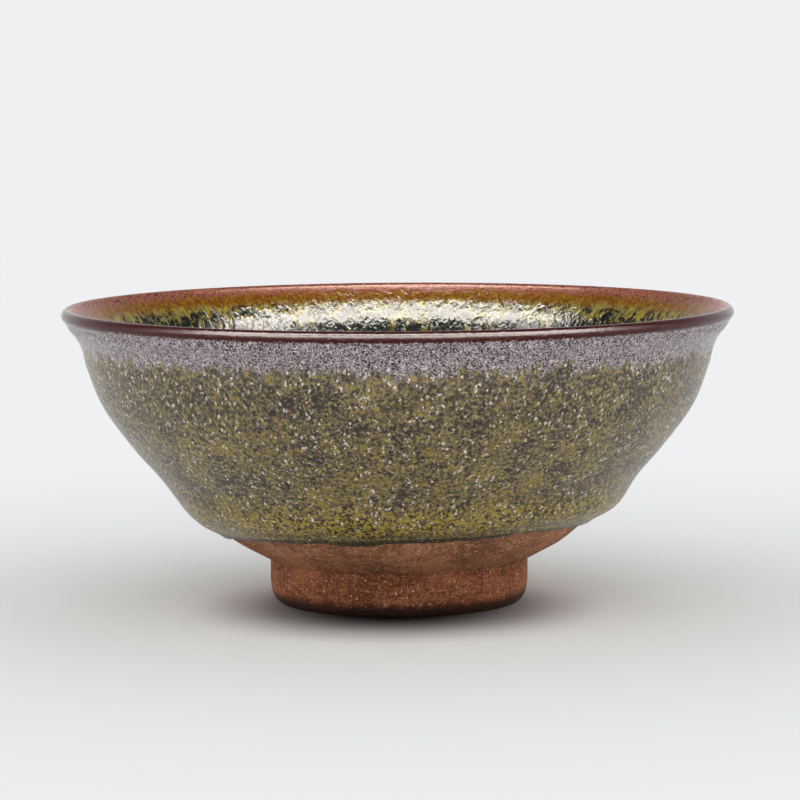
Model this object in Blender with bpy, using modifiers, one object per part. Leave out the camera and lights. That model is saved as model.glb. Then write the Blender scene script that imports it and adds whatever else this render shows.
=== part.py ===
"""Matcha bowl: a thrown stoneware body on a foot ring, under three coats of glaze.

Metres, +Z up. The origin is the centre of the foot, on the surface that the bowl stands on.
Every piece is turned about Z. A profile is a list of (radius, height) points, and it runs down
the piece's outer side.
"""

import math

import bpy

OBJECT_NAME = "matcha_bowl"

# Overall sizes.
RIM_RADIUS = 0.0650
BOWL_HEIGHT = 0.0575
FOOT_RADIUS = 0.0251
FOOT_HEIGHT = 0.0084

# The clay's outside from the foot up to the neck: shares of the way out and of the way up.
OUTSIDE_SHAPE = (
    (0.000, 0.000),
    (0.083, 0.036),
    (0.185, 0.084),
    (0.275, 0.147),
    (0.352, 0.209),
    (0.450, 0.288),
    (0.526, 0.360),
    (0.652, 0.477),
    (0.780, 0.624),
    (0.852, 0.769),
    (0.875, 0.842),
    (0.907, 0.900),
)

# Clay.
LIP_RADIUS = 0.00125
LIP_LEAN = math.radians(30)
NECK_DEPTH = 0.0120
WALL_AT_NECK = 0.0030
WALL_AT_BASE = 0.0052
BASE_THICKNESS = 0.0062
RECESS_DEPTH = 0.0056
FOOT_WALL = 0.0058
FOOT_CHAMFER_WIDTH = 0.0021
FOOT_CHAMFER_HEIGHT = 0.0036
FOOT_INNER_ROUND = 0.0010

# Glaze. The outer coat thickens into a roll above its lower edge, the inner one into a pool.
OUTER_COAT = 0.0008
INNER_COAT = 0.0008
LIP_COAT = 0.00035
LIP_COAT_REACH = 0.0022
BARE_CLAY_REACH = 0.0112
ROLL_THICKNESS = 0.0011
ROLL_ABOVE_EDGE = 0.0088
ROLL_REACH = 0.0048
ROLL_TAPER = 0.0070
EDGE_SHARE = 0.3
POOL_THICKNESS = 0.0009
POOL_REACH = 0.0200

# Clearance between pieces that touch.
GAP = 0.0003

TURN_STEPS = 48
WALL_POINTS = 16
MERGE_DISTANCE = 0.00001

LIP_CENTRE = (RIM_RADIUS - LIP_RADIUS, BOWL_HEIGHT - LIP_RADIUS)
CLAY_LIP_RADIUS = LIP_RADIUS - LIP_COAT - GAP
RECESS_RADIUS = FOOT_RADIUS - FOOT_WALL
FLOOR_HEIGHT = RECESS_DEPTH + BASE_THICKNESS


def arc(centre, radius, start, end, steps):
    """Points on a circle from one angle to another, both ends included."""
    angles = [start + (end - start) * step / steps for step in range(steps + 1)]
    return [(centre[0] + radius * math.cos(a), centre[1] + radius * math.sin(a)) for a in angles]


def catmull_rom(before, start, end, after, t):
    return tuple(
        s + 0.5 * t * ((e - b) + t * ((2 * b - 5 * s + 4 * e - a) + t * (3 * (s - e) + a - b)))
        for b, s, e, a in zip(before, start, end, after)
    )


def mirrored(point, centre):
    return tuple(2 * c - p for p, c in zip(point, centre))


def smooth_curve(knots, steps=12):
    """A Catmull-Rom curve through the knots, with so many points to each stretch."""
    padded = [mirrored(knots[1], knots[0]), *knots, mirrored(knots[-2], knots[-1])]
    curve = []
    for before, start, end, after in zip(padded, padded[1:], padded[2:], padded[3:]):
        curve += [catmull_rom(before, start, end, after, step / steps) for step in range(steps)]
    return [*curve, knots[-1]]


def distances_along(curve):
    found = [0.0]
    for a, b in zip(curve, curve[1:]):
        found.append(found[-1] + math.dist(a, b))
    return found


def length(curve):
    return distances_along(curve)[-1]


def evenly(start, end, count):
    return [start + (end - start) * step / (count - 1) for step in range(count)]


def sample(curve, distance):
    """The point that far along a curve, and the normal on the right of the curve's way there."""
    along = distances_along(curve)
    i = max(j for j in range(len(curve) - 1) if along[j] <= distance or j == 0)
    (ax, az), (bx, bz) = curve[i], curve[i + 1]
    span = along[i + 1] - along[i]
    share = (distance - along[i]) / span
    point = (ax + (bx - ax) * share, az + (bz - az) * share)
    return point, ((bz - az) / span, (ax - bx) / span)


def raised(curve, distance, height):
    point, normal = sample(curve, distance)
    return point[0] + normal[0] * height, point[1] + normal[1] * height


def bump(distance, reach):
    return math.exp(-((distance / reach) ** 2))


def edged(distance_to_edge, taper):
    """The share of its full thickness that a coat has, tapering down near its edge."""
    inward = min(max(distance_to_edge / taper, 0.0), 1.0)
    return EDGE_SHARE + (1 - EDGE_SHARE) * inward * inward * (3 - 2 * inward)


def stations(start, end, thickness):
    """Distances between a coat's two rounded edges, where both the coat and its clay have points."""
    step = thickness if end > start else -thickness
    return evenly(start + step, end - step, WALL_POINTS)


def with_edges(start, end, thickness):
    """The stations, with points close together at the coat's rounded edges."""
    step = thickness if end > start else -thickness
    middle = stations(start, end, thickness)
    return [start, start + 0.3 * step, *middle, end - 0.3 * step, end]


def outside_curve():
    """The outside of the clay, from the top of the foot up to the lip's round."""
    width = RIM_RADIUS - FOOT_RADIUS
    height = BOWL_HEIGHT - FOOT_HEIGHT
    knots = [(FOOT_RADIUS + out * width, FOOT_HEIGHT + up * height) for out, up in OUTSIDE_SHAPE]
    lip_start = arc(LIP_CENTRE, CLAY_LIP_RADIUS, -LIP_LEAN, 0, 1)[0]
    return smooth_curve([*knots, lip_start])


def inside_curve():
    """The inside of the clay, from the lip's round down to the middle of the floor."""
    outside = outside_curve()
    high = length(outside) - NECK_DEPTH
    low = BARE_CLAY_REACH
    lip_end = arc(LIP_CENTRE, CLAY_LIP_RADIUS, math.pi - LIP_LEAN, 0, 1)[0]
    knots = [lip_end]
    for distance in evenly(high, low, 5):
        share = (high - distance) / (high - low)
        wall = WALL_AT_NECK + (WALL_AT_BASE - WALL_AT_NECK) * share
        knots.append(raised(outside, distance, -wall))
    side_radius, side_height = knots[-1]
    well = (0.5 * side_radius, FLOOR_HEIGHT + 0.25 * (side_height - FLOOR_HEIGHT))
    return smooth_curve([*knots, well, (0.0, FLOOR_HEIGHT)])


def outer_span():
    """The outer coat's top and bottom edges, as distances up the outside."""
    return length(outside_curve()) - LIP_COAT_REACH - GAP, BARE_CLAY_REACH


def inner_span():
    """The inner coat's edge near the lip and its middle, as distances down the inside."""
    return LIP_COAT_REACH + GAP, length(inside_curve())


def clay_body():
    """From the middle of the floor up over the lip and down to the middle of the base."""
    inside = inside_curve()
    outside = outside_curve()
    edge, middle = inner_span()
    high, low = outer_span()
    floor_stations = [*reversed(stations(edge, middle, INNER_COAT)), LIP_COAT_REACH, 0.0]
    wall_stations = [length(outside), high, *stations(high, low, OUTER_COAT), *evenly(low, 0.0, 4)]
    floor = [sample(inside, distance)[0] for distance in floor_stations]
    lip = arc(LIP_CENTRE, CLAY_LIP_RADIUS, math.pi - LIP_LEAN, -LIP_LEAN, 6)
    wall = [sample(outside, distance)[0] for distance in wall_stations]
    boss = RECESS_RADIUS - GAP
    base = [(boss, FOOT_HEIGHT), (boss, RECESS_DEPTH), (0.0, RECESS_DEPTH)]
    return [(0.0, FLOOR_HEIGHT), *floor, *lip[1:-1], *wall, *base]


def foot_ring():
    """Chamfered outside at the bottom, rounded inside, and flat where it stands."""
    top = FOOT_HEIGHT - GAP
    chamfer_knots = [
        (FOOT_RADIUS, FOOT_CHAMFER_HEIGHT),
        (FOOT_RADIUS - 0.28 * FOOT_CHAMFER_WIDTH, 0.6 * FOOT_CHAMFER_HEIGHT),
        (FOOT_RADIUS - FOOT_CHAMFER_WIDTH, 0.0),
    ]
    round_centre = (RECESS_RADIUS + FOOT_INNER_ROUND, FOOT_INNER_ROUND)
    inner_round = arc(round_centre, FOOT_INNER_ROUND, 1.5 * math.pi, math.pi, 3)
    return [(RECESS_RADIUS, top), (FOOT_RADIUS, top), *smooth_curve(chamfer_knots, 3), *inner_round]


def coat(curve, distances, thickness):
    """The closed profile of a coat over a curve, standing the usual gap off it."""
    over = [raised(curve, d, GAP + thickness(d)) for d in distances]
    under = [raised(curve, d, GAP) for d in distances]
    return [*over, *reversed(under)]


def outer_glaze():
    """From just under the lip's coat down to the thick edge that stops short of the foot."""
    high, low = outer_span()

    def thickness(distance):
        full = OUTER_COAT + ROLL_THICKNESS * bump(distance - low - ROLL_ABOVE_EDGE, ROLL_REACH)
        return full * edged(distance - low, ROLL_TAPER) * edged(high - distance, OUTER_COAT)

    return coat(outside_curve(), with_edges(high, low, OUTER_COAT), thickness)


def inner_glaze():
    """From just under the lip's coat down to the pool in the middle of the floor."""
    edge, middle = inner_span()

    def thickness(distance):
        pool = POOL_THICKNESS * bump(middle - distance, POOL_REACH)
        return INNER_COAT * edged(distance - edge, INNER_COAT) + pool

    distances = [middle, *reversed(with_edges(edge, middle, INNER_COAT)[:-2])]
    profile = coat(inside_curve(), distances, thickness)
    return [(0.0, profile[0][1]), *profile[1:-1], (0.0, profile[-1][1])]


def lip_glaze():
    """From just inside the rim over the lip's round to just outside it."""
    inside = inside_curve()
    outside = outside_curve()
    top = length(outside)

    def layer(height):
        inner = [raised(inside, d, height) for d in evenly(LIP_COAT_REACH, 0, 3)]
        start, end = math.pi - LIP_LEAN, -LIP_LEAN
        over = arc(LIP_CENTRE, CLAY_LIP_RADIUS + height, start, end, 6)
        outer = [raised(outside, d, height) for d in evenly(top, top - LIP_COAT_REACH, 3)]
        return [*inner[:-1], *over, *outer[1:]]

    return [*layer(GAP + LIP_COAT), *reversed(layer(GAP))]


def material(name, colour, roughness):
    finish = bpy.data.materials.new(name)
    finish.use_nodes = True
    shader = finish.node_tree.nodes["Principled BSDF"]
    shader.inputs["Base Color"].default_value = (*colour, 1.0)
    shader.inputs["Roughness"].default_value = roughness
    shader.inputs["Metallic"].default_value = 0.0
    finish.diffuse_color = (*colour, 1.0)
    return finish


def turned(collection, name, profile, finish):
    """A piece from its profile: open at both ends on the axis, or else a closed loop."""
    open_ended = profile[0][0] == 0.0
    count = len(profile)
    edges = [(i, i + 1) for i in range(count - 1)]
    if not open_ended:
        edges.append((count - 1, 0))
    mesh = bpy.data.meshes.new(name)
    mesh.from_pydata([(radius, 0.0, height) for radius, height in profile], edges, [])
    piece = bpy.data.objects.new(name, mesh)
    collection.objects.link(piece)
    screw = piece.modifiers.new("Turn", "SCREW")
    screw.steps = TURN_STEPS
    screw.render_steps = TURN_STEPS
    screw.use_merge_vertices = True
    screw.merge_threshold = MERGE_DISTANCE
    screw.use_smooth_shade = True
    mesh.materials.append(finish)
    return piece


def clear_scene():
    for old in list(bpy.data.objects):
        bpy.data.objects.remove(old, do_unlink=True)


def build():
    clear_scene()
    collection = bpy.data.collections.new(OBJECT_NAME)
    bpy.context.scene.collection.children.link(collection)
    clay = ((0.190, 0.078, 0.045), 0.75)
    pieces = (
        ("clay_body", clay_body(), *clay),
        ("foot_ring", foot_ring(), *clay),
        ("outer_glaze", outer_glaze(), (0.105, 0.090, 0.028), 0.30),
        ("lip_glaze", lip_glaze(), (0.095, 0.022, 0.012), 0.20),
        ("inner_glaze", inner_glaze(), (0.070, 0.062, 0.018), 0.18),
    )
    for name, profile, colour, roughness in pieces:
        turned(collection, name, profile, material(name, colour, roughness))


build()
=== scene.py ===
"""A glazed stoneware matcha bowl on a pale table, laid out as an add-on with one operator per piece.

Every piece is turned: its outline is drawn in the XZ plane point by point and spun about Z.
Outlines are lists of (radius, height) points in metres, and "along" is a distance along one.
"""

import math

import bpy
import numpy as np
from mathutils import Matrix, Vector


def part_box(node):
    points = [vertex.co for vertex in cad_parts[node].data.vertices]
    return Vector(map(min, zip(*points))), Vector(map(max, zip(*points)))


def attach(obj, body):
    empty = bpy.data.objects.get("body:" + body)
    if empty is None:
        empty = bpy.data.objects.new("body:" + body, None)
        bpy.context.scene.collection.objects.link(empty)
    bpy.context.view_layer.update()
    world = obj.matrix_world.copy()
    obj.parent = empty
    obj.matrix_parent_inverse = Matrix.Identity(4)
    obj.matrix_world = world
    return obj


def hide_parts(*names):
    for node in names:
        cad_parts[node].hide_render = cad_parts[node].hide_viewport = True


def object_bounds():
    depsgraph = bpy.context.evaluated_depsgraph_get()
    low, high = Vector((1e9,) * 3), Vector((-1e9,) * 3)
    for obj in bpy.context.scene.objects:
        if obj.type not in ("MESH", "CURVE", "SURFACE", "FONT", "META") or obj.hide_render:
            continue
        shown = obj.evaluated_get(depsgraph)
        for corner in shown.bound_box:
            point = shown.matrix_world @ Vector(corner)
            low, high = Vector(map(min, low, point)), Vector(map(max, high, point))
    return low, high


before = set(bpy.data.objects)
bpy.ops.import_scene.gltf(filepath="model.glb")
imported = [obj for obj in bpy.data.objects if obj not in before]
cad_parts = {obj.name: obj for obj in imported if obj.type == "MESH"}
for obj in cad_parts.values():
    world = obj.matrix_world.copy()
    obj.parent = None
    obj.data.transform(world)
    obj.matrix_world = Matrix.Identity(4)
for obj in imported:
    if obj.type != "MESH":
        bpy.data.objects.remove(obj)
CAD_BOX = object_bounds()

bl_info = {
    "name": "Matcha Bowl",
    "version": (1, 0, 0),
    "blender": (4, 5, 0),
    "location": "View3D > Sidebar > Matcha Bowl",
    "description": "Builds a tea-dust glazed matcha bowl around its packed frame",
    "category": "Object",
}

MM = 0.001
GAP = 0.3 * MM

# The clay, from the sizes of the frame. OUTSIDE_SHAPE is its outside from the top of the foot up
# to the neck, as shares of the way out and of the way up to the rim.
RIM_RADIUS = CAD_BOX[1].x
BOWL_HEIGHT = CAD_BOX[1].z
FOOT_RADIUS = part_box("foot_ring")[1].x
FOOT_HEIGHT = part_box("foot_ring")[1].z + GAP
OUTSIDE_SHAPE = (
    (0.000, 0.000),
    (0.083, 0.036),
    (0.185, 0.084),
    (0.275, 0.147),
    (0.352, 0.209),
    (0.450, 0.288),
    (0.526, 0.360),
    (0.652, 0.477),
    (0.780, 0.624),
    (0.852, 0.769),
    (0.875, 0.842),
    (0.907, 0.900),
)
LIP_RADIUS = 1.25 * MM
LIP_LEAN = math.radians(30)
LIP_CENTRE = (RIM_RADIUS - LIP_RADIUS, BOWL_HEIGHT - LIP_RADIUS)
CLAY_LIP_RADIUS = 0.6 * MM
LIP_REACH = 2.2 * MM
NECK_DEPTH = 12 * MM
WALL_AT_NECK = 3.0 * MM
WALL_AT_BASE = 5.2 * MM
FLOOR_HEIGHT = 11.8 * MM
RECESS_DEPTH = 5.6 * MM
FOOT_WALL = 5.8 * MM
FOOT_CHAMFER = (-1.6 * MM, 3.9 * MM)
FOOT_SHAPE = ((0, 1), (0.10, 0.67), (0.30, 0.38), (0.58, 0.17), (1, 0))
FOOT_INNER_ROUND = 1.0 * MM

# Where the coats thicken and thin, as distances along the clay.
LIP_TAPER = 2.8 * MM
SHOULDER = 4.8 * MM
ROLL_ABOVE_EDGE = 7.6 * MM
ROLL_REACH = 4.8 * MM
ROLL_TAPER = 5.0 * MM
EDGE_SHARE = 0.62
RIDGE_DEPTH = 8.0 * MM
RIDGE_REACH = 4.0 * MM
RINGS_START = 13 * MM
RINGS_PITCH = 4.7 * MM
POOL_REACH = 20 * MM

# How the outer coat's lower edge runs round the bowl. It rises and falls once, highest near
# HIGH_SIDE, an angle about Z from the front towards +X, with EDGE_LEVEL taken off and four slighter
# waves of EDGE_WAVE. Each scallop is (waves round the bowl, phase, height), and each ripple of the
# coat is (waves round the bowl, radians per metre along the wall, phase).
HIGH_SIDE = math.radians(31)
EDGE_LEVEL = 0.46
EDGE_WAVE = 0.12
EDGE_SLIDE_REACH = 26 * MM
SCALLOPS = ((11, 0.6, 0.22 * MM), (19, 2.1, 0.16 * MM), (37, 4.0, 0.10 * MM))
RIPPLES = ((7, 380, 0.0), (12, -230, 1.3))

# How the pieces are turned. The backs of the coats are sunk into the clay by SUNK. The steps are
# the distances between the points of an outline, short where it is seen and long where it is not.
# The clay is seen from its foot up to SEEN_CLAY.
TURN_STEPS = 384
SUNK = 0.1 * MM
MERGE = 0.002 * MM
SMOOTH_ANGLE = math.radians(40)
ROUND_STEP = 0.3 * MM
CLAY_STEP = 0.4 * MM
WALL_STEP = 0.45 * MM
FLOOR_STEP = 0.5 * MM
HIDDEN_LIP_STEP = 1.1 * MM
HIDDEN_WALL_STEP = 4 * MM
HIDDEN_FLOOR_STEP = 5 * MM
SEEN_CLAY = 19 * MM

# Where one colour gives way to the next, in millimetres, each between its two numbers. Depths are
# below the rim. Heights are above the table, but that of the gold is above the glaze's lower edge,
# which lies at EDGE_HEIGHT, give or take EDGE_LEAN round the bowl.
LIP_DEPTH = (1.85, 2.2)
BAND_DEPTH = (7.0, 8.6)
RUST_DEPTH = (1.2, 2.2)
AMBER_DEPTH = (2.8, 4.4)
GOLD_HEIGHT = (5.0, 10.0)
# The painted shade at the foot's lower edge, near the table, fades out between these heights.
PAINTED_SHADE_HEIGHT = (1.3, 3.4)
EDGE_HEIGHT = 15.4
EDGE_LEAN = 2.2

# The crest of the lip, where its outer colours meet the inner ones.
CREST_LEAN = 0.28
CREST_BLEND = 0.25 * MM

# How the finishes catch the light.
BUMP = 0.12 * MM
CLAY_IOR = 1.35
CLAY_SHINE = 0.12
OUTER_IOR = 1.46
OUTER_SHEEN = 0.14
SHEEN_ROUGHNESS = 0.3
INNER_IOR = 1.25
LIP_IOR = 1.27

# The crescent of light overhead, laid out on a plane one unit above the bowl. It lies between an
# inner and an outer oval, with a reach and a width for each, and is cut off at its tips.
CRESCENT_BACK = 0.30
CRESCENT_REACH = (0.50, 0.83)
CRESCENT_WIDTH = (0.82, 1.02)
CRESCENT_SHIFT = 0.04
CRESCENT_INNER_EDGE = (0.96, 1.04)
CRESCENT_OUTER_EDGE = (0.97, 1.03)
CRESCENT_TIPS = (0.12, 0.26)

# The wall of light in front and the dim ceiling. Their heights are the upward part of a direction
# of length one, and the wall's sides are the backward part of its level direction.
WALL_FOOT = (0.34, 0.40)
WALL_TOP = (0.72, 0.76)
WALL_SIDES = (-0.35, 0.05)
CEILING_RISE = (0.10, 0.75)

# The floor, and the soft shadow painted on it, which falls forwards and a little to the left.
FLOOR_RADIUS = 4.0
FLOOR_FADE = (80 * MM, 260 * MM)
SHADOW_CENTRE = (-1 * MM, -14 * MM, 0)
SHADOW_REACH = (8 * MM, 42 * MM)

# The camera: the width of its sensor in millimetres, and its shift as a share of that width.
SENSOR_WIDTH = 36
CAMERA_SHIFT = 0.0051


def length(name, description, default):
    """A size in metres that can be set."""
    return bpy.props.FloatProperty(name=name, description=description, default=default, unit="LENGTH")


def angle(name, description, default):
    """An angle that can be set."""
    return bpy.props.FloatProperty(name=name, description=description, default=default, unit="ROTATION")


def colour(name, description, default):
    """A colour that can be set."""
    return bpy.props.FloatVectorProperty(
        name=name, description=description, default=default, size=3, subtype="COLOR", min=0, max=1
    )


class GlazeSizes(bpy.types.PropertyGroup):
    """How thick the glaze lies on the clay, and where it stops."""

    coat: length("Coat", "Thickness on the wall", 1.1 * MM)
    lip_coat: length("Lip coat", "Thickness where it thins on the lip", 0.65 * MM)
    roll: length("Roll", "Extra thickness where it ran together", 1.1 * MM)
    pool: length("Pool", "Extra thickness on the bowl's floor", 0.9 * MM)
    ridge: length("Ridge", "Throwing ridge inside the neck", 0.30 * MM)
    rings: length("Rings", "Height of the throwing rings below it", 0.035 * MM)
    bead: length("Bead", "Round of the lower edge", 0.4 * MM)
    bare: length("Bare clay", "Clay left bare above the foot", 11.2 * MM)
    lift: length("Lift", "How far the lower edge lies above it", 1.9 * MM)
    tilt: length("Tilt", "How far the lower edge tilts", 3.45 * MM)
    ripple: length("Ripple", "Unevenness of the surface", 0.03 * MM)


class BowlColours(bpy.types.PropertyGroup):
    """The colours that the kiln left on the bowl."""

    clay: colour("Clay", "Fired red-brown stoneware", (0.530, 0.230, 0.126))
    clay_dark: colour("Clay shade", "Dull zones of the clay", (0.190, 0.080, 0.042))
    foot: colour("Foot", "Redder clay of the foot", (0.370, 0.130, 0.059))
    foot_dark: colour("Foot shade", "Dull zones of the foot", (0.130, 0.037, 0.016))
    # The pit colour also paints the shade along the foot's lower edge.
    pit: colour("Pit_and_shade", "Pits and the shaded lower edge", (0.012, 0.006, 0.004))
    grain: colour("Grain", "Tan grains in the clay", (0.850, 0.600, 0.400))
    # Ground is also the colour of the painted shade under the glaze's lower edge.
    ground: colour("Ground", "Dark brown under the tea dust", (0.020, 0.019, 0.013))
    brown: colour("Brown", "Brown between the crystals", (0.160, 0.115, 0.072))
    olive: colour("Olive", "Tea-dust crystals", (0.285, 0.230, 0.072))
    gold: colour("Gold", "Yellow crystals", (0.410, 0.300, 0.022))
    night: colour("Night", "Blue-black patches", (0.012, 0.015, 0.014))
    # Fleck is the colour of pale crystals and of painted glints alike.
    fleck: colour("Fleck", "Pale glints", (0.880, 0.760, 0.700))
    mauve: colour("Mauve", "Purple-brown ground of the band", (0.024, 0.011, 0.012))
    frost: colour("Frost", "Pale threads of the band", (0.900, 0.780, 0.800))
    lip: colour("Lip", "Iron red of the lip", (0.060, 0.004, 0.004))
    rust: colour("Rust", "Red-brown inside the rim", (0.310, 0.108, 0.066))
    amber: colour("Amber", "Orange-brown below it", (0.210, 0.058, 0.005))


class StageSizes(bpy.types.PropertyGroup):
    """The camera, the floor and the light."""

    distance: length("Distance", "From the bowl to the camera", 0.660)
    aim: length("Aim", "Height that the camera looks at", 38.9 * MM)
    elevation: angle("Elevation", "Angle of the camera above the horizontal", math.radians(5.84))
    roll: angle("Roll", "Lean of the camera", math.radians(0.36))
    lens: bpy.props.FloatProperty(
        name="Lens", description="Focal length in millimetres", default=152.6, unit="CAMERA"
    )
    floor: colour("Floor", "Colour of the floor", (0.92, 0.93, 0.93))
    haze: colour("Haze", "Colour of the surroundings", (0.86, 0.872, 0.885))
    cream: colour("Cream", "Colour of the crescent and the wall of light", (0.88, 0.84, 0.77))
    crescent: bpy.props.FloatProperty(
        name="Crescent", description="Brightness of the crescent of light overhead", default=68, min=0
    )
    wall: bpy.props.FloatProperty(
        name="Wall", description="Brightness of the wall of light in front", default=48, min=0
    )
    ceiling: bpy.props.FloatProperty(
        name="Ceiling",
        description="Brightness of the ceiling that the glaze mirrors",
        default=0.15,
        subtype="FACTOR",
    )


class MatchaBowl(bpy.types.PropertyGroup):
    """Everything that can be set on the bowl."""

    glaze: bpy.props.PointerProperty(name="Glaze", description="Glaze sizes", type=GlazeSizes)
    colours: bpy.props.PointerProperty(name="Colours", description="Colours", type=BowlColours)
    stage: bpy.props.PointerProperty(name="Stage", description="Camera and light", type=StageSizes)


# ---------------------------------------------------------------- outlines


class Outline:
    """A smooth line of (radius, height) points that can be read at any distance along it."""

    FINENESS = 60

    def __init__(self, knots):
        knots = np.array(knots, float)
        knots = np.vstack([2 * knots[0] - knots[1], knots, 2 * knots[-1] - knots[-2]])
        t = np.linspace(0, 1, self.FINENESS, endpoint=False)[:, None]
        # A Catmull-Rom curve through the knots.
        spans = []
        for before, start, end, after in zip(knots, knots[1:], knots[2:], knots[3:]):
            bend = 2 * before - 5 * start + 4 * end - after + t * (3 * (start - end) + after - before)
            spans.append(start + 0.5 * t * (end - before + t * bend))
        self.points = np.vstack([*spans, knots[-2]])
        steps = np.diff(self.points, axis=0)
        self.along = np.concatenate([[0], np.cumsum(np.hypot(*steps.T))])
        self.length = self.along[-1]
        way = np.gradient(self.points, self.along, axis=0)
        way /= np.hypot(*way.T)[:, None]
        self.normals = np.stack([way[:, 1], -way[:, 0]], axis=1)

    def at(self, along, off=0.0):
        """The points that far along, moved off the line along its normals."""
        point = np.stack([np.interp(along, self.along, column) for column in self.points.T], axis=-1)
        normal = np.stack([np.interp(along, self.along, column) for column in self.normals.T], axis=-1)
        return point + normal * np.asarray(off)[..., None]

    def nearest(self, places):
        """How far along, and how far off the line, each (radius, height) place lies."""
        index = np.linalg.norm(places[:, None] - self.points[None], axis=2).argmin(axis=1)
        across = places - self.points[index]
        normal = self.normals[index]
        way = np.stack([-normal[:, 1], normal[:, 0]], axis=1)
        return self.along[index] + (across * way).sum(axis=1), (across * normal).sum(axis=1)


def smooth_step(x):
    """Goes smoothly from 0 to 1 as x does, and no further."""
    x = np.clip(x, 0, 1)
    return x * x * (3 - 2 * x)


def spaced(start, end, pitch):
    """Even distances from start to end, about a pitch apart."""
    return np.linspace(start, end, max(2, round(abs(end - start) / pitch) + 1))


def arc(centre, radius, start, end, steps):
    """Points round a part of a circle, from one angle to another."""
    angles = np.linspace(start, end, steps + 1)
    return np.stack([centre[0] + radius * np.cos(angles), centre[1] + radius * np.sin(angles)], axis=1)


def clay_outside():
    """The outside of the clay, from the top of the foot up to the lip's round."""
    size = np.array([RIM_RADIUS - FOOT_RADIUS, BOWL_HEIGHT - FOOT_HEIGHT])
    knots = np.array([FOOT_RADIUS, FOOT_HEIGHT]) + size * np.array(OUTSIDE_SHAPE)
    return Outline([*knots, arc(LIP_CENTRE, CLAY_LIP_RADIUS, -LIP_LEAN, 0, 1)[0]])


def clay_inside(glaze):
    """The inside of the clay, from the lip's round down to the middle of the floor."""
    outside = clay_outside()
    along = np.linspace(outside.length - NECK_DEPTH, glaze.bare, 5)
    wall = outside.at(along, -np.linspace(WALL_AT_NECK, WALL_AT_BASE, 5))
    side = wall[-1]
    well = (0.5 * side[0], FLOOR_HEIGHT + 0.25 * (side[1] - FLOOR_HEIGHT))
    start = arc(LIP_CENTRE, CLAY_LIP_RADIUS, math.pi - LIP_LEAN, 0, 1)[0]
    return Outline([start, *wall, well, (0.0, FLOOR_HEIGHT)])


def outer_thickness(glaze, outside, along):
    """The outer coat: thin at the lip, fat in the roll, round at the lower edge."""
    above = along - glaze.bare
    share = smooth_step((outside.length - along) / LIP_TAPER)
    coat = glaze.lip_coat + (glaze.coat - glaze.lip_coat) * share
    roll = glaze.roll * np.exp(-(((above - ROLL_ABOVE_EDGE) / ROLL_REACH) ** 2))
    taper = EDGE_SHARE + (1 - EDGE_SHARE) * smooth_step(above / ROLL_TAPER)
    bead = np.sqrt(1 - (1 - np.clip(above / glaze.bead, 0, 1)) ** 2)
    return (coat + roll) * taper * bead


def inner_thickness(glaze, inside, along):
    """The inner coat: thin at the lip, ringed on the wall, deeper in the pool on the floor."""
    coat = glaze.lip_coat + (glaze.coat - glaze.lip_coat) * smooth_step(along / SHOULDER)
    ridge = glaze.ridge * np.exp(-(((along - RIDGE_DEPTH) / RIDGE_REACH) ** 2))
    rings = glaze.rings * np.sin(math.tau * along / RINGS_PITCH)
    ridge = ridge + rings * smooth_step((along - RINGS_START) / RINGS_START)
    pool = glaze.pool * np.exp(-(((inside.length - along) / POOL_REACH) ** 2))
    return coat + ridge + pool


# ---------------------------------------------------------------- turning and hand work


def deselect():
    bpy.ops.object.select_all(action="DESELECT")


def turned(name, outline, closed):
    """Draws an outline point by point, spins it about Z and closes its seam and poles."""
    outline = [tuple(point) for point in outline]
    deselect()
    bpy.ops.mesh.primitive_plane_add(size=MM, location=(outline[0][0], 0, outline[0][1]))
    piece = bpy.context.object
    piece.name = name
    piece.data.name = name
    bpy.ops.object.transform_apply()
    bpy.ops.object.mode_set(mode="EDIT")
    bpy.ops.mesh.select_all(action="SELECT")
    bpy.ops.mesh.merge(type="CENTER")
    path = outline + outline[:1] if closed else outline
    for (r0, z0), (r1, z1) in zip(path, path[1:]):
        bpy.ops.mesh.extrude_vertices_move(TRANSFORM_OT_translate={"value": (r1 - r0, 0, z1 - z0)})
    bpy.ops.mesh.select_all(action="SELECT")
    bpy.ops.mesh.remove_doubles(threshold=MERGE)
    bpy.ops.mesh.spin(steps=TURN_STEPS, angle=math.tau, center=(0, 0, 0), axis=(0, 0, 1))
    bpy.ops.mesh.select_all(action="SELECT")
    bpy.ops.mesh.remove_doubles(threshold=MERGE)
    bpy.ops.mesh.normals_make_consistent(inside=False)
    bpy.ops.object.mode_set(mode="OBJECT")
    return piece


def read_vertices(piece):
    found = np.empty(len(piece.data.vertices) * 3)
    piece.data.vertices.foreach_get("co", found)
    return found.reshape(-1, 3)


def move_vertices(piece, places):
    piece.data.vertices.foreach_set("co", places.ravel())
    piece.data.update()


def front_angle(places):
    """The angle about Z of each place, 0 at the front and rising towards +X."""
    return np.arctan2(places[:, 0], -places[:, 1])


def edge_slide(glaze, turn):
    """How far up the wall the outer coat's lower edge is slid, at each angle about Z."""
    lean = np.cos(turn - HIGH_SIDE) - EDGE_LEVEL - EDGE_WAVE * np.cos(4 * turn)
    scallops = sum(height * np.sin(waves * turn + phase) for waves, phase, height in SCALLOPS)
    return glaze.lift + glaze.tilt * lean + scallops


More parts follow.
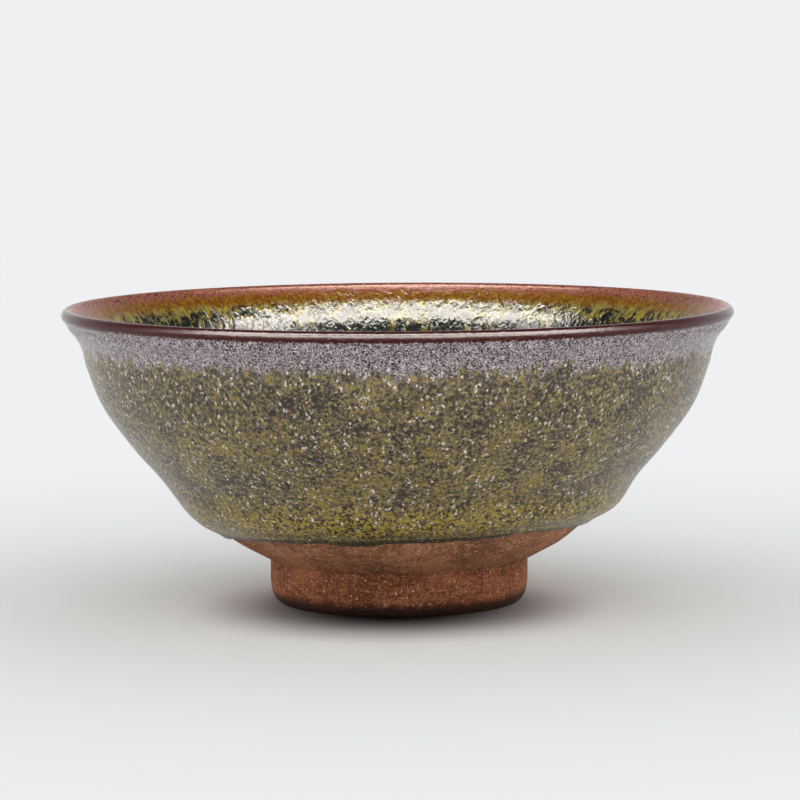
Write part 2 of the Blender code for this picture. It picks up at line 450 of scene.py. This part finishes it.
def hang_edge(piece, glaze, outside):
    """Slides the lower part of the outer coat up or down the wall, and ripples its surface."""
    places = read_vertices(piece)
    radius = np.hypot(places[:, 0], places[:, 1])
    rings, ring = np.unique(
        np.round(np.stack([radius, places[:, 2]], axis=1), 7), axis=0, return_inverse=True
    )
    along, off = (values[ring.ravel()] for values in outside.nearest(rings))
    hold = 1 - smooth_step((along - glaze.bare) / EDGE_SLIDE_REACH)
    turn = front_angle(places)
    wave = sum(np.sin(waves * turn + climb * along + phase) for waves, climb, phase in RIPPLES)
    wave *= smooth_step((outside.length - LIP_REACH - along) / LIP_TAPER)
    off = off + glaze.ripple * wave * (off > 2 * SUNK)
    moved = outside.at(along + edge_slide(glaze, turn) * hold, off)
    places[:, :2] *= (moved[:, 0] / radius)[:, None]
    places[:, 2] = moved[:, 1]
    move_vertices(piece, places)


def finish_piece(piece, material, node):
    """Shades a piece smooth, gives it its material, hangs it on the root body and hides the CAD part it
    replaces.
    """
    deselect()
    piece.select_set(True)
    bpy.context.view_layer.objects.active = piece
    bpy.ops.object.shade_smooth_by_angle(angle=SMOOTH_ANGLE)
    piece.data.materials.clear()
    piece.data.materials.append(material)
    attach(piece, "root")
    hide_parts(node)


# ---------------------------------------------------------------- node trees


class Tree:
    """Adds nodes to one node tree. An input that is a socket is linked, another is set."""

    def __init__(self, tree):
        self.tree = tree

    def node(self, kind, inputs=None, **settings):
        node = self.tree.nodes.new("ShaderNode" + kind)
        for name, value in settings.items():
            setattr(node, name, value)
        for name, value in (inputs or {}).items():
            socket = node.inputs[name]
            if isinstance(value, bpy.types.NodeSocket):
                self.tree.links.new(value, socket)
            else:
                socket.default_value = value
        return node

    def math(self, operation, *values):
        return self.node("Math", dict(enumerate(values)), operation=operation).outputs[0]

    def vector(self, operation, *values):
        return self.node("VectorMath", dict(enumerate(values)), operation=operation).outputs[0]

    def length(self, vector):
        return self.node("VectorMath", {0: vector}, operation="LENGTH").outputs["Value"]

    def split(self, vector):
        return self.node("SeparateXYZ", {0: vector}).outputs

    def level(self, vector):
        """A vector with its height taken away."""
        split = self.split(vector)
        return self.node("CombineXYZ", {"X": split["X"], "Y": split["Y"]}).outputs[0]

    def place(self):
        """Where a point lies on its piece, in millimetres."""
        inputs = {0: self.node("TexCoord").outputs["Object"], "Scale": 1 / MM}
        return self.node("VectorMath", inputs, operation="SCALE").outputs[0]

    def noise(self, where, scale, detail=2.0, roughness=0.5, distortion=0.0):
        inputs = {"Vector": where, "Scale": scale, "Detail": detail}
        inputs |= {"Roughness": roughness, "Distortion": distortion}
        return self.node("TexNoise", inputs).outputs["Fac"]

    def cells(self, where, scale):
        """Cells: the distance to the nearest one's centre, and three random numbers for each."""
        node = self.node("TexVoronoi", {"Vector": where, "Scale": scale})
        return node.outputs["Distance"], self.node("SeparateColor", {0: node.outputs["Color"]}).outputs

    def between(self, value, low, high, start=0.0, end=1.0):
        """Goes smoothly from start to end as value goes from low to high, and no further."""
        inputs = {"Value": value, "From Min": low, "From Max": high, "To Min": start, "To Max": end}
        return self.node("MapRange", inputs, interpolation_type="SMOOTHSTEP").outputs[0]

    def waver(self, value, noise, amount):
        """Lets a value rise and fall with a noise, by up to half the amount."""
        return self.math("MULTIPLY_ADD", self.math("SUBTRACT", noise, 0.5), amount, value)

    def blend(self, factor, first, second):
        """A number between two others."""
        return self.node("Mix", {0: factor, 2: first, 3: second}, data_type="FLOAT").outputs[0]

    def mix(self, factor, first, second):
        """A colour between two others."""
        inputs = {0: factor, 6: self.colour(first), 7: self.colour(second)}
        return self.node("Mix", inputs, data_type="RGBA").outputs[2]

    def colour(self, value):
        """A socket as it is, or a colour with its alpha."""
        if isinstance(value, bpy.types.NodeSocket):
            return value
        return (*value, 1)


def new_group(name, inputs, outputs):
    """An empty node group with named sockets, given as (name, kind, default)."""
    group = bpy.data.node_groups.new(name, "ShaderNodeTree")
    for socket_name, kind, default in inputs:
        socket = group.interface.new_socket(socket_name, in_out="INPUT", socket_type="NodeSocket" + kind)
        socket.default_value = default
    for socket_name, kind in outputs:
        group.interface.new_socket(socket_name, in_out="OUTPUT", socket_type="NodeSocket" + kind)
    tree = Tree(group)
    given = group.nodes.new("NodeGroupInput")
    return group, tree, given.outputs


def close_group(group, **results):
    """Links what a group works out to its outputs."""
    end = group.nodes.new("NodeGroupOutput")
    for name, socket in results.items():
        group.links.new(socket, end.inputs[name])


def glaze_group(colours):
    """The fired glaze: lip red, frosted band, tea dust and gold edge outside, streaks inside."""
    found = bpy.data.node_groups.get("fired_glaze")
    if found:
        return found
    names = ["ground", "brown", "olive", "gold", "night", "fleck"]
    names += ["mauve", "frost", "lip", "rust", "amber"]
    inputs = [("Inside", "Float", 0.0)]
    inputs += [(name.capitalize(), "Color", (*getattr(colours, name), 1)) for name in names]
    group, tree, given = new_group(
        "fired_glaze", inputs, [("Colour", "Color"), ("Roughness", "Float"), ("Height", "Float")]
    )
    inside = given["Inside"]
    place = tree.place()
    height = tree.split(place)["Z"]
    depth = tree.math("SUBTRACT", BOWL_HEIGHT / MM, height)
    around = tree.vector("NORMALIZE", tree.level(place))

    # Patterns: five from coarse to fine, two that run down the wall, and the cells of the glints.
    patch = tree.noise(place, 0.13, roughness=0.6)
    shade = tree.noise(place, 0.45, roughness=0.6)
    mottle = tree.noise(place, 1.6, detail=4, roughness=0.66, distortion=0.3)
    worm = tree.noise(place, 2.3, detail=3, roughness=0.6, distortion=0.7)
    dust = tree.noise(place, 3.2, roughness=0.6)
    run_place = tree.vector("MULTIPLY", place, (1, 1, 0.16))
    run = tree.noise(run_place, 0.55, detail=3, roughness=0.55)
    fine_run = tree.noise(run_place, 1.5, roughness=0.6)
    bend = tree.node("TexNoise", {"Vector": place, "Scale": 1.3, "Detail": 1.0}).outputs["Color"]
    spot_place = tree.vector("ADD", tree.vector("MULTIPLY", place, (1, 1, 0.6)), bend)
    spot, pick = tree.cells(spot_place, 1.15)

    # Outside below the band: tea dust.
    tea = tree.waver(mottle, patch, 0.30)
    tea = tree.waver(tea, shade, 0.35)
    tea_colour = tree.mix(tree.between(tea, 0.41, 0.48), given["Ground"], given["Brown"])
    tea_colour = tree.mix(tree.between(tea, 0.49, 0.57), tea_colour, given["Olive"])
    golden = tree.between(tree.math("ADD", tea, tree.math("MULTIPLY", shade, 0.3)), 0.72, 0.86)
    tea_colour = tree.mix(golden, tea_colour, given["Gold"])
    rusty = tree.math("MULTIPLY", tree.between(dust, 0.58, 0.66), 0.6)
    tea_colour = tree.mix(rusty, tea_colour, given["Amber"])
    nights = tree.math("MULTIPLY", tree.between(shade, 0.52, 0.59), tree.between(patch, 0.40, 0.52))
    nights = tree.math("MULTIPLY", nights, tree.between(depth, 12.0, 24.0, 1.0, 0.3))
    tea_colour = tree.mix(tree.math("MULTIPLY", nights, 0.85), tea_colour, given["Night"])

    # The gold zone over the lower edge, which follows the edge's tilt.
    lean = tree.node(
        "VectorMath",
        {0: around, 1: (math.sin(HIGH_SIDE), -math.cos(HIGH_SIDE), 0)},
        operation="DOT_PRODUCT",
    ).outputs["Value"]
    edge = tree.math("MULTIPLY_ADD", lean, EDGE_LEAN, EDGE_HEIGHT)
    over_edge = tree.math("SUBTRACT", height, edge)
    low = tree.between(tree.math("MULTIPLY_ADD", shade, 4.0, over_edge), *GOLD_HEIGHT, 1, 0)
    low_gold = tree.math("MULTIPLY", low, tree.between(mottle, 0.47, 0.54))
    tea_colour = tree.mix(tree.math("MULTIPLY", low_gold, 0.9), tea_colour, given["Gold"])

    # Painted shade under the lower edge: its downward-facing underside, and the glaze at the edge's
    # line, are darkened to the ground colour.
    facing = tree.split(tree.node("NewGeometry").outputs["Normal"])["Z"]
    painted_edge_shade = tree.math("MULTIPLY", tree.between(facing, -0.96, -0.86, 0.9, 0.0), low)
    painted_edge_shade = tree.math("MAXIMUM", painted_edge_shade, tree.between(over_edge, -0.6, 0.0, 0.85, 0.0))

    # Pale flecks, one in some of the cells: partly pale crystals, partly painted glints of light.
    chosen = tree.between(tree.math("MULTIPLY_ADD", shade, 0.5, pick["Red"]), 0.50, 0.58)
    size = tree.math("MULTIPLY_ADD", pick["Green"], 0.22, 0.14)
    near = tree.between(tree.math("SUBTRACT", spot, size), -0.06, 0.06, 1, 0)
    glint = tree.math("MULTIPLY", chosen, near)
    glint = tree.math("MULTIPLY", glint, tree.between(dust, 0.42, 0.50))
    tea_colour = tree.mix(tree.math("MULTIPLY", glint, 0.95), tea_colour, given["Fleck"])
    # The painted shade under the lower edge, in the ground colour.
    tea_colour = tree.mix(painted_edge_shade, tea_colour, given["Ground"])

    # The frosted band: pale threads over purple-brown, partly the band's crystals and partly painted
    # glints.
    thread = tree.math("ABSOLUTE", tree.math("SUBTRACT", worm, 0.5))
    thread = tree.between(thread, 0.012, 0.055, 1, 0)
    # The threads and the painted glints both take the frost colour.
    frost_and_glint = tree.math("MAXIMUM", thread, tree.math("MULTIPLY", glint, 0.9))
    band_colour = tree.mix(tree.math("MULTIPLY", frost_and_glint, 0.95), given["Mauve"], given["Frost"])
    band_end = tree.waver(tree.waver(depth, run, 7.0), mottle, 5.0)
    outer = tree.mix(tree.between(band_end, *BAND_DEPTH), band_colour, tea_colour)

    # The lip: iron red, ragged where the band begins.
    lip_share = tree.between(tree.waver(depth, mottle, 1.6), *LIP_DEPTH, 1, 0)
    outer = tree.mix(lip_share, outer, given["Lip"])

    # Inside: rust at the rim, amber below it, then olive streaks that thin out over near-black.
    streak = tree.math("MULTIPLY_ADD", fine_run, 0.6, tree.math("MULTIPLY", run, 0.6))
    streak = tree.math("ADD", streak, tree.between(depth, 3.0, 9.0, 0.08, -0.05))
    yellow = tree.math("MULTIPLY", tree.between(streak, 0.64, 0.74), tree.between(shade, 0.48, 0.60))
    deep = tree.mix(tree.between(streak, 0.58, 0.72), given["Night"], given["Olive"])
    deep = tree.mix(yellow, deep, given["Gold"])
    rust = tree.mix(tree.between(mottle, 0.34, 0.54), given["Lip"], given["Rust"])
    gold_share = tree.math("MULTIPLY", tree.between(fine_run, 0.44, 0.60), 0.45)
    amber = tree.mix(gold_share, given["Amber"], given["Gold"])
    fall = tree.waver(depth, run, 3.0)
    warm = tree.mix(tree.between(fall, *RUST_DEPTH), rust, amber)
    inner = tree.mix(tree.between(fall, *AMBER_DEPTH), warm, deep)
    colour = tree.mix(inside, outer, inner)

    # Gloss and relief.
    dull = tree.math("MULTIPLY_ADD", mottle, 0.26, 0.13)
    dull = tree.math("MULTIPLY", dull, tree.between(depth, 1.6, 3.4, 0.18, 1.0))
    glossy = tree.math("MULTIPLY_ADD", dust, 0.08, tree.between(depth, 0.5, 3.5, 0.22, 0.05))
    gloss = tree.blend(inside, dull, glossy)
    relief = tree.math("MULTIPLY_ADD", dust, 0.35, mottle)
    relief = tree.math("MULTIPLY_ADD", glint, 0.25, relief)
    relief = tree.math("MULTIPLY_ADD", thread, 0.10, relief)
    flow = tree.math("MULTIPLY_ADD", run, 1.6, tree.math("MULTIPLY", fine_run, 0.6))
    relief = tree.blend(inside, relief, flow)
    relief = tree.math("MULTIPLY", relief, tree.between(depth, 0.4, 2.0, 0.3, 1))
    close_group(group, Colour=colour, Roughness=gloss, Height=relief)
    return group


def stoneware_group(colours):
    """Bare fired clay: sand, tan grains, pits, turning lines, and painted shade darkening the lower edge
    near the table.
    """
    found = bpy.data.node_groups.get("stoneware")
    if found:
        return found
    inputs = [
        ("Clay", "Color", (*colours.clay, 1)),
        ("Shade", "Color", (*colours.clay_dark, 1)),
        ("Grain", "Color", (*colours.grain, 1)),
        ("Pit_and_shade", "Color", (*colours.pit, 1)),
    ]
    group, tree, given = new_group(
        "stoneware", inputs, [("Colour", "Color"), ("Roughness", "Float"), ("Height", "Float")]
    )
    place = tree.place()
    patch = tree.noise(place, 0.09, detail=3, roughness=0.6, distortion=0.4)
    mottle = tree.noise(place, 0.9, detail=4, roughness=0.65)
    sand = tree.noise(place, 3.4, detail=3, roughness=0.75)
    lines = tree.noise(tree.vector("MULTIPLY", place, (0.12, 0.12, 1)), 2.2, detail=3, roughness=0.6)

    # Grains and pits, each in some of the cells.
    spot, pick = tree.cells(place, 1.9)
    size = tree.math("MULTIPLY_ADD", pick["Blue"], 0.22, 0.12)
    near = tree.between(tree.math("SUBTRACT", spot, size), -0.05, 0.08, 1, 0)
    grain = tree.math("MULTIPLY", tree.between(pick["Red"], 0.74, 0.80), near)
    pit = tree.math("MULTIPLY", tree.between(pick["Green"], 0.84, 0.88), near)

    # Colour.
    tone = tree.waver(mottle, patch, 1.2)
    tone = tree.waver(tone, lines, 0.4)
    tone = tree.waver(tone, sand, 1.4)
    colour = tree.mix(tree.between(tone, 0.30, 0.72), given["Shade"], given["Clay"])
    sandy = tree.math("MULTIPLY", tree.between(sand, 0.56, 0.68), 0.55)
    colour = tree.mix(sandy, colour, given["Grain"])
    colour = tree.mix(grain, colour, given["Grain"])
    colour = tree.mix(tree.math("MULTIPLY", pit, 0.8), colour, given["Pit_and_shade"])
    height = tree.waver(tree.split(place)["Z"], mottle, 1.2)
    # Painted shade: near the table the clay darkens to the pit colour, for the shadow at the foot's
    # lower edge.
    colour = tree.mix(tree.between(height, *PAINTED_SHADE_HEIGHT, 0.97, 0.0), colour, given["Pit_and_shade"])

    # Dull all over, with the relief of the lines, the sand, the grains and the pits.
    rough = tree.math("MULTIPLY_ADD", mottle, 0.3, 0.55)
    relief = tree.math("MULTIPLY_ADD", lines, 1.2, tree.math("MULTIPLY", sand, 0.8))
    relief = tree.math("MULTIPLY_ADD", grain, 0.5, relief)
    relief = tree.math("MULTIPLY_ADD", pit, -1.2, relief)
    close_group(group, Colour=colour, Roughness=rough, Height=relief)
    return group


def surfaced(name, group, ior, inputs=None, sheen=0.0, shine=0.5):
    """A material whose colour, roughness and relief come from a group."""
    material = bpy.data.materials.new(name)
    material.use_nodes = True
    tree = Tree(material.node_tree)
    look = tree.node("Group", node_tree=group)
    for socket, value in (inputs or {}).items():
        look.inputs[socket].default_value = value
    bump = tree.node("Bump", {"Height": look.outputs["Height"], "Distance": BUMP, "Strength": 1.0})
    shader = material.node_tree.nodes["Principled BSDF"]
    material.node_tree.links.new(look.outputs["Colour"], shader.inputs["Base Color"])
    material.node_tree.links.new(look.outputs["Roughness"], shader.inputs["Roughness"])
    material.node_tree.links.new(bump.outputs[0], shader.inputs["Normal"])
    shader.inputs["IOR"].default_value = ior
    shader.inputs["Specular IOR Level"].default_value = shine
    shader.inputs["Sheen Weight"].default_value = sheen
    shader.inputs["Sheen Roughness"].default_value = SHEEN_ROUGHNESS
    return material, tree, look


def lip_inside(tree):
    """Which side of the lip's crest a point lies on: 0 for the outer, 1 for the inner."""
    place = tree.node("TexCoord").outputs["Object"]
    radius = tree.length(tree.level(place))
    over = tree.math("SUBTRACT", tree.split(place)["Z"], BOWL_HEIGHT)
    crest = tree.math("MULTIPLY_ADD", over, CREST_LEAN, LIP_CENTRE[0])
    return tree.between(tree.math("SUBTRACT", crest, radius), -CREST_BLEND, CREST_BLEND)


# ---------------------------------------------------------------- pieces


class BowlOperator:
    """What the operators share."""

    bl_options = {"REGISTER", "UNDO"}

    @property
    def bowl(self):
        return bpy.context.scene.matcha_bowl


class BOWL_OT_clay_body(BowlOperator, bpy.types.Operator):
    """Turn the clay body with its wall, floor and bare underside"""

    bl_idname = "bowl.clay_body"
    bl_label = "Clay Body"

    def execute(self, context):
        glaze = self.bowl.glaze
        outside = clay_outside()
        inside = clay_inside(glaze)
        hidden_in = inside.at(spaced(inside.length, 0, HIDDEN_FLOOR_STEP), -2 * SUNK)
        hidden_in[0][0] = 0
        lip = arc(LIP_CENTRE, CLAY_LIP_RADIUS - 2 * SUNK, math.pi - LIP_LEAN, -LIP_LEAN, 6)
        hidden_out = outside.at(spaced(outside.length, SEEN_CLAY + MM, HIDDEN_WALL_STEP))
        seen = outside.at(spaced(SEEN_CLAY, 0, CLAY_STEP))
        boss = FOOT_RADIUS - FOOT_WALL + SUNK
        base = [(boss, FOOT_HEIGHT), (boss, RECESS_DEPTH)]
        middle = [(radius, RECESS_DEPTH) for radius in spaced(boss - CLAY_STEP, 0, FLOOR_STEP)]
        outline = [*hidden_in, *lip[1:-1], *hidden_out, *seen, *base, *middle]
        piece = turned("clay_body", outline, closed=False)
        group = stoneware_group(self.bowl.colours)
        material = surfaced("bare_clay", group, CLAY_IOR, shine=CLAY_SHINE)[0]
        finish_piece(piece, material, "clay_body")
        return {"FINISHED"}


class BOWL_OT_foot_ring(BowlOperator, bpy.types.Operator):
    """Turn the foot ring with its chamfer and its rounded inner edge"""

    bl_idname = "bowl.foot_ring"
    bl_label = "Foot Ring"

    def execute(self, context):
        top = FOOT_HEIGHT + SUNK
        inner = FOOT_RADIUS - FOOT_WALL
        size = np.array(FOOT_CHAMFER)
        chamfer = Outline(np.array([FOOT_RADIUS, 0]) + size * np.array(FOOT_SHAPE))
        down = [(FOOT_RADIUS, height) for height in spaced(top, size[1], CLAY_STEP)]
        round_centre = (inner + FOOT_INNER_ROUND, FOOT_INNER_ROUND)
        inner_round = arc(round_centre, FOOT_INNER_ROUND, 1.5 * math.pi, math.pi, 8)
        up = [(inner, height) for height in spaced(FOOT_INNER_ROUND, top, FLOOR_STEP)]
        bevel = chamfer.at(spaced(0, chamfer.length, ROUND_STEP))
        piece = turned("foot_ring", [*down[:-1], *bevel, *inner_round, *up[1:]], closed=True)
        colours = self.bowl.colours
        tint = {"Clay": (*colours.foot, 1), "Shade": (*colours.foot_dark, 1)}
        group = stoneware_group(colours)
        material = surfaced("foot_clay", group, CLAY_IOR, tint, shine=CLAY_SHINE)[0]
        finish_piece(piece, material, "foot_ring")
        return {"FINISHED"}


class BOWL_OT_outer_glaze(BowlOperator, bpy.types.Operator):
    """Lay the tea-dust glaze on the outer wall, down to its rolled lower edge"""

    bl_idname = "bowl.outer_glaze"
    bl_label = "Outer Glaze"

    def execute(self, context):
        glaze = self.bowl.glaze
        outside = clay_outside()
        low = glaze.bare
        high = outside.length - LIP_REACH
        bead = low + glaze.bead * (1 - np.cos(np.linspace(math.pi / 2, 0, 7)))
        over = np.concatenate([spaced(high, low + glaze.bead, WALL_STEP)[:-1], bead])
        under = spaced(low + glaze.bead, high, HIDDEN_WALL_STEP)
        seen = outside.at(over, outer_thickness(glaze, outside, over))
        piece = turned("outer_glaze", [*seen, *outside.at(under, -SUNK)], closed=True)
        hang_edge(piece, glaze, outside)
        group = glaze_group(self.bowl.colours)
        material = surfaced("tea_dust_glaze", group, OUTER_IOR, sheen=OUTER_SHEEN)[0]
        finish_piece(piece, material, "outer_glaze")
        return {"FINISHED"}


class BOWL_OT_inner_glaze(BowlOperator, bpy.types.Operator):
    """Lay the streaked glaze inside the bowl, down to the pool on its floor"""

    bl_idname = "bowl.inner_glaze"
    bl_label = "Inner Glaze"

    def execute(self, context):
        glaze = self.bowl.glaze
        inside = clay_inside(glaze)
        over = spaced(inside.length, LIP_REACH, FLOOR_STEP)
        seen = inside.at(over, inner_thickness(glaze, inside, over))
        hidden = inside.at(spaced(LIP_REACH, inside.length, HIDDEN_FLOOR_STEP), -SUNK)
        seen[0][0] = 0
        hidden[-1][0] = 0
        piece = turned("inner_glaze", [*seen, *hidden], closed=False)
        group = glaze_group(self.bowl.colours)
        material = surfaced("inner_glaze", group, INNER_IOR, {"Inside": 1.0})[0]
        finish_piece(piece, material, "inner_glaze")
        return {"FINISHED"}


class BOWL_OT_lip_glaze(BowlOperator, bpy.types.Operator):
    """Lay the thin iron-red glaze over the lip"""

    bl_idname = "bowl.lip_glaze"
    bl_label = "Lip Glaze"

    def execute(self, context):
        glaze = self.bowl.glaze
        outside = clay_outside()
        inside = clay_inside(glaze)

        def layer(radius, inner_off, outer_off, pitch):
            down = spaced(LIP_REACH, 0, pitch)
            back = spaced(outside.length, outside.length - LIP_REACH, pitch)
            over = arc(LIP_CENTRE, radius, math.pi - LIP_LEAN, -LIP_LEAN, 18)
            inner = inside.at(down, inner_off(down))
            outer = outside.at(back, outer_off(back))
            return [*inner[:-1], *over, *outer[1:]]

        seen = layer(
            CLAY_LIP_RADIUS + glaze.lip_coat,
            lambda along: inner_thickness(glaze, inside, along),
            lambda along: outer_thickness(glaze, outside, along),
            ROUND_STEP,
        )
        hidden = layer(
            CLAY_LIP_RADIUS - SUNK,
            lambda along: np.full(along.shape, -SUNK),
            lambda along: np.full(along.shape, -SUNK),
            HIDDEN_LIP_STEP,
        )
        piece = turned("lip_glaze", [*seen, *reversed(hidden)], closed=True)
        group = glaze_group(self.bowl.colours)
        material, tree, look = surfaced("lip_glaze", group, LIP_IOR)
        tree.tree.links.new(lip_inside(tree), look.inputs["Inside"])
        finish_piece(piece, material, "lip_glaze")
        return {"FINISHED"}


class BOWL_OT_stage(BowlOperator, bpy.types.Operator):
    """Set up the floor, the light and the camera"""

    bl_idname = "bowl.stage"
    bl_label = "Stage"

    def execute(self, context):
        stage = self.bowl.stage
        self.add_floor(stage)
        self.add_light(stage)
        self.add_camera(stage)
        context.scene.view_settings.view_transform = "Standard"
        return {"FINISHED"}

    def add_floor(self, stage):
        """A pale floor with the bowl's shadow painted on it. Further out it glows like the haze."""
        deselect()
        bpy.ops.mesh.primitive_circle_add(vertices=96, radius=FLOOR_RADIUS, fill_type="NGON")
        floor = bpy.context.object
        floor.name = "floor"
        material = bpy.data.materials.new("floor")
        material.use_nodes = True
        tree = Tree(material.node_tree)
        material.node_tree.nodes.remove(material.node_tree.nodes["Principled BSDF"])
        place = tree.node("TexCoord").outputs["Object"]
        fade = tree.between(tree.length(place), *FLOOR_FADE)
        # Painted shadow: the floor darkens towards SHADOW_CENTRE.
        beside = tree.length(tree.vector("SUBTRACT", place, SHADOW_CENTRE))
        tone = tree.mix(tree.between(beside, *SHADOW_REACH), (0, 0, 0), stage.floor)
        paper = tree.node("BsdfDiffuse", {"Color": tone}).outputs[0]
        glow = tree.node("Emission", {"Color": (*stage.haze, 1)}).outputs[0]
        both = tree.node("MixShader", {0: fade, 1: paper, 2: glow}).outputs[0]
        end = material.node_tree.nodes["Material Output"]
        material.node_tree.links.new(both, end.inputs["Surface"])
        floor.data.materials.append(material)

    def add_light(self, stage):
        """Even light all round, with a crescent, a wall of light and a dim ceiling for the gloss."""
        world = bpy.data.worlds.new("surroundings")
        bpy.context.scene.world = world
        world.use_nodes = True
        tree = Tree(world.node_tree)
        way = tree.node("TexCoord").outputs["Generated"]
        split = tree.split(way)

        # The crescent.
        rise = tree.math("MAXIMUM", split["Z"], 0.01)
        across = tree.math("SUBTRACT", tree.math("DIVIDE", split["X"], rise), CRESCENT_SHIFT)
        ahead = tree.math("SUBTRACT", CRESCENT_BACK, tree.math("DIVIDE", split["Y"], rise))
        ovals = []
        for width, reach in zip(CRESCENT_WIDTH, CRESCENT_REACH):
            sideways = tree.math("DIVIDE", across, width)
            forwards = tree.math("DIVIDE", ahead, reach)
            sideways = tree.math("MULTIPLY", sideways, sideways)
            ovals.append(tree.math("MULTIPLY_ADD", forwards, forwards, sideways))
        past_inner = tree.between(ovals[0], *CRESCENT_INNER_EDGE)
        in_outer = tree.between(ovals[1], *CRESCENT_OUTER_EDGE, 1, 0)
        crescent = tree.math("MULTIPLY", past_inner, in_outer)
        crescent = tree.math("MULTIPLY", crescent, tree.between(ahead, *CRESCENT_TIPS))

        # The wall.
        level = tree.length(tree.level(way))
        front = tree.math("DIVIDE", split["Y"], tree.math("MAXIMUM", level, 0.001))
        above = tree.between(split["Z"], *WALL_FOOT)
        below = tree.between(split["Z"], *WALL_TOP, 1, 0)
        wall = tree.math("MULTIPLY", above, below)
        wall = tree.math("MULTIPLY", wall, tree.between(front, *WALL_SIDES, 1, 0))
        wall = tree.math("MULTIPLY", wall, stage.wall)

        # Glossy rays see both in front of the ceiling, and all the others see the even haze.
        lit = tree.math("MAXIMUM", wall, tree.math("MULTIPLY", crescent, stage.crescent))
        dim = tree.between(split["Z"], *CEILING_RISE, 1.0, stage.ceiling)
        mirrored = tree.math("MAXIMUM", lit, dim)
        glossy = tree.node("LightPath").outputs["Is Glossy Ray"]
        strength = tree.blend(glossy, 1.0, mirrored)
        sky = world.node_tree.nodes["Background"]
        bright = tree.math("MULTIPLY", glossy, tree.between(lit, 0.0, 1.0))
        world.node_tree.links.new(tree.mix(bright, stage.haze, stage.cream), sky.inputs["Color"])
        world.node_tree.links.new(strength, sky.inputs["Strength"])

    def add_camera(self, stage):
        """A camera in front of the bowl, looking slightly down into it."""
        deselect()
        bpy.ops.object.camera_add(
            location=(
                0,
                -stage.distance * math.cos(stage.elevation),
                stage.aim + stage.distance * math.sin(stage.elevation),
            ),
            rotation=(math.pi / 2 - stage.elevation, stage.roll, 0),
        )
        camera = bpy.context.object
        camera.data.lens = stage.lens
        camera.data.sensor_width = SENSOR_WIDTH
        camera.data.shift_x = CAMERA_SHIFT
        camera.data.clip_start = 0.01
        camera.data.clip_end = 50
        bpy.context.scene.camera = camera


class BOWL_PT_build(bpy.types.Panel):
    """Lists the pieces of the bowl"""

    bl_label = "Matcha Bowl"
    bl_idname = "BOWL_PT_build"
    bl_space_type = "VIEW_3D"
    bl_region_type = "UI"
    bl_category = "Matcha Bowl"

    def draw(self, context):
        bowl = context.scene.matcha_bowl
        for operator in OPERATORS:
            self.layout.operator(operator.bl_idname)
        for settings in (bowl.glaze, bowl.colours, bowl.stage):
            box = self.layout.box()
            for name in settings.bl_rna.properties.keys():
                if name not in ("rna_type", "name"):
                    box.prop(settings, name)


OPERATORS = (
    BOWL_OT_stage,
    BOWL_OT_clay_body,
    BOWL_OT_foot_ring,
    BOWL_OT_outer_glaze,
    BOWL_OT_inner_glaze,
    BOWL_OT_lip_glaze,
)
CLASSES = (GlazeSizes, BowlColours, StageSizes, MatchaBowl, *OPERATORS, BOWL_PT_build)


def register():
    for item in CLASSES:
        bpy.utils.register_class(item)
    bpy.types.Scene.matcha_bowl = bpy.props.PointerProperty(
        name="Matcha Bowl", description="Settings of the bowl", type=MatchaBowl
    )


def unregister():
    del bpy.types.Scene.matcha_bowl
    for item in reversed(CLASSES):
        bpy.utils.unregister_class(item)


def main():
    """Builds everything."""
    register()
    bpy.ops.bowl.stage()
    bpy.ops.bowl.clay_body()
    bpy.ops.bowl.foot_ring()
    bpy.ops.bowl.outer_glaze()
    bpy.ops.bowl.inner_glaze()
    bpy.ops.bowl.lip_glaze()


if __name__ == "__main__":
    main()
